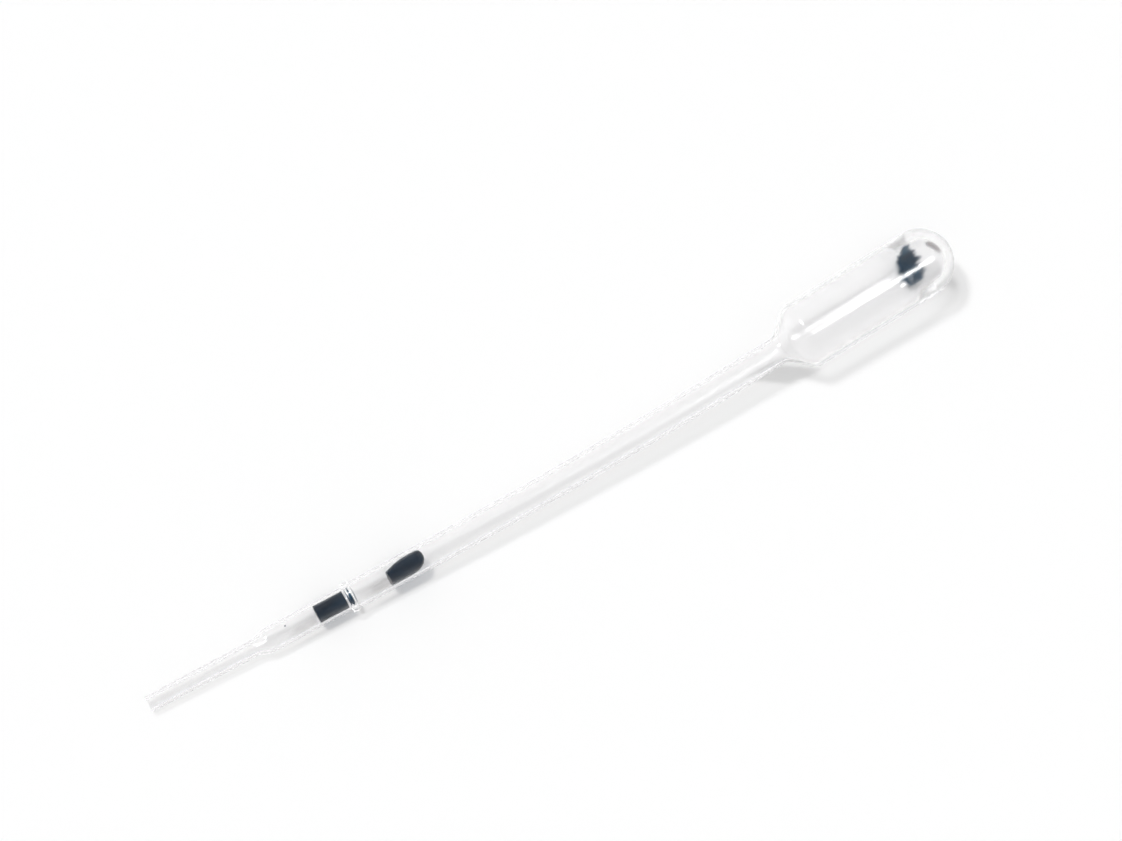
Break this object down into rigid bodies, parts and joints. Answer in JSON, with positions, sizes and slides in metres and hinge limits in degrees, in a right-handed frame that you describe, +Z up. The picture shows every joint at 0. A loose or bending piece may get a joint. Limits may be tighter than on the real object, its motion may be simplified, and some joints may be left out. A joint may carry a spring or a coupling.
{
  "type": "dropper pipette",
  "caption": "Clear blown-plastic dropper pipette lying flat: narrow open tip, slender stem with a bead and a squeeze bulb, with dark ink left inside.",
  "frame": {"origin": "on the surface it lies on, under the middle of its outline", "axes": "+X from the open tip towards the closed dome of the bulb, +Z up from the surface, -Y the side that the stem bows towards"},
  "size_m": [0.1548, 0.0126, 0.0126],
  "materials": {
    "clear_plastic": "clear, slightly milky, smooth",
    "ink": "wet, near-black blue",
    "ink_film": "wet film, dark teal blue"
  },
  "bodies": {
    "root": {"pipette": "clear_plastic", "lower_ink_slug": "ink", "stem_ink_drop": "ink", "bulb_ink_puddle": "ink_film"}
  },
  "joints": []
}
